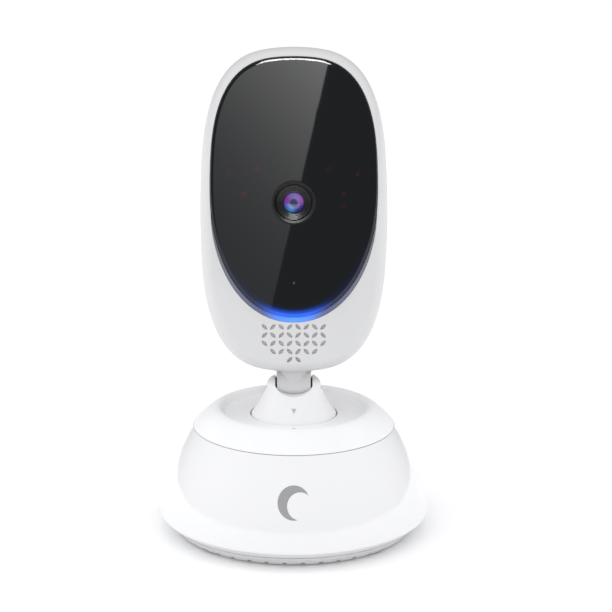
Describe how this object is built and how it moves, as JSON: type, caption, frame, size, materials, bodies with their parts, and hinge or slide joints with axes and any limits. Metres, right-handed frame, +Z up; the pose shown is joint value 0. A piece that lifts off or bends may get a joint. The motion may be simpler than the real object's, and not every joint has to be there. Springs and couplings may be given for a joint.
{
  "type": "baby monitor camera",
  "caption": "Oval camera head with a smoked front window, light ring and speaker grille, tilting in a yoke that pans on a weighted dome base.",
  "frame": {"origin": "centre of the underside of the base, on the surface it stands on", "axes": "+Z up, the camera looks towards -Y, +X is to the right of a viewer facing it"},
  "size_m": [0.08, 0.08, 0.1424],
  "materials": {
    "gloss_white": "polished",
    "matte_white": "fine satin",
    "neck_plastic": "fine satin",
    "foot_plastic": "fine satin",
    "smoked_acrylic": "polished, infrared-clear smoked acrylic",
    "frosted_diffuser": "frosted, lit blue from below",
    "black_plastic": "satin",
    "grey_plastic": "satin",
    "lens_glass": "coated",
    "rubber": "matt",
    "steel": "zinc plated",
    "ballast_iron": "raw",
    "brass": "turned",
    "circuit_board": "solder mask",
    "ir_emitter": "clear dark lens",
    "blue_led": "lit",
    "mesh_cloth": "fine woven",
    "lead_jacket": "matt"
  },
  "bodies": {
    "base": {"base_body": "gloss_white", "base_top_cover": "matte_white", "cover_clamp": "grey_plastic", "cover_screws": "steel", "foot_plate": "foot_plastic", "foot_screws": "steel", "rubber_feet": "rubber", "ballast": "ballast_iron", "base_board": "circuit_board", "board_spacers": "grey_plastic", "base_board_screws": "steel", "power_jack": "black_plastic", "regulator_parts": "black_plastic", "base_harness": "lead_jacket"},
    "yoke": {"yoke": "matte_white", "pan_retainer": "grey_plastic", "retainer_screws": "steel", "pan_washer": "rubber", "tilt_pins": "steel", "tilt_bushes": "rubber", "yoke_harness": "lead_jacket"},
    "head": {"neck": "neck_plastic", "head_front_shell": "matte_white", "head_rear_shell": "matte_white", "head_screws": "steel", "neck_screws": "steel", "front_panel": "smoked_acrylic", "light_ring": "frosted_diffuser", "lens_bezel": "black_plastic", "lens_barrel": "black_plastic", "front_lens": "lens_glass", "rear_lens": "lens_glass", "ir_filter": "lens_glass", "lens_holder": "black_plastic", "image_sensor": "black_plastic", "main_board": "circuit_board", "board_posts": "brass", "board_screws": "steel", "led_board": "circuit_board", "ir_leds": "ir_emitter", "light_sensor": "black_plastic", "ring_leds": "blue_led", "microphone": "steel", "microphone_boot": "rubber", "speaker_mesh": "mesh_cloth", "speaker_gasket": "rubber", "speaker": "black_plastic", "speaker_cone": "black_plastic", "processor_shield": "steel", "heat_pad": "rubber", "antenna": "circuit_board", "antenna_lead": "lead_jacket", "harness_connector": "grey_plastic", "head_harness": "lead_jacket", "power_switch_body": "steel", "pair_switch_body": "steel", "control_board": "circuit_board", "control_posts": "brass"},
    "power_switch": {"power_switch_knob": "grey_plastic"},
    "pair_button": {"pair_button": "grey_plastic"}
  },
  "joints": [
    {"name": "pan", "type": "hinge", "parent": "base", "child": "yoke", "pos_m": [0, 0, 0.0353], "axis": [0, 0, 1], "range_deg": [-90, 90]},
    {"name": "tilt", "type": "hinge", "parent": "yoke", "child": "head", "pos_m": [0, 0, 0.044], "axis": [1, 0, 0], "range_deg": [-15, 32]},
    {"name": "power_slide", "type": "slide", "parent": "head", "child": "power_switch", "axis": [1, 0, 0], "range_m": [0, 0.002]},
    {"name": "pair_press", "type": "slide", "parent": "head", "child": "pair_button", "axis": [0, -0.9781, 0.2079], "range_m": [0, 0.0005], "stiffness_N_per_m": 400, "springref_m": -0.0005}
  ]
}
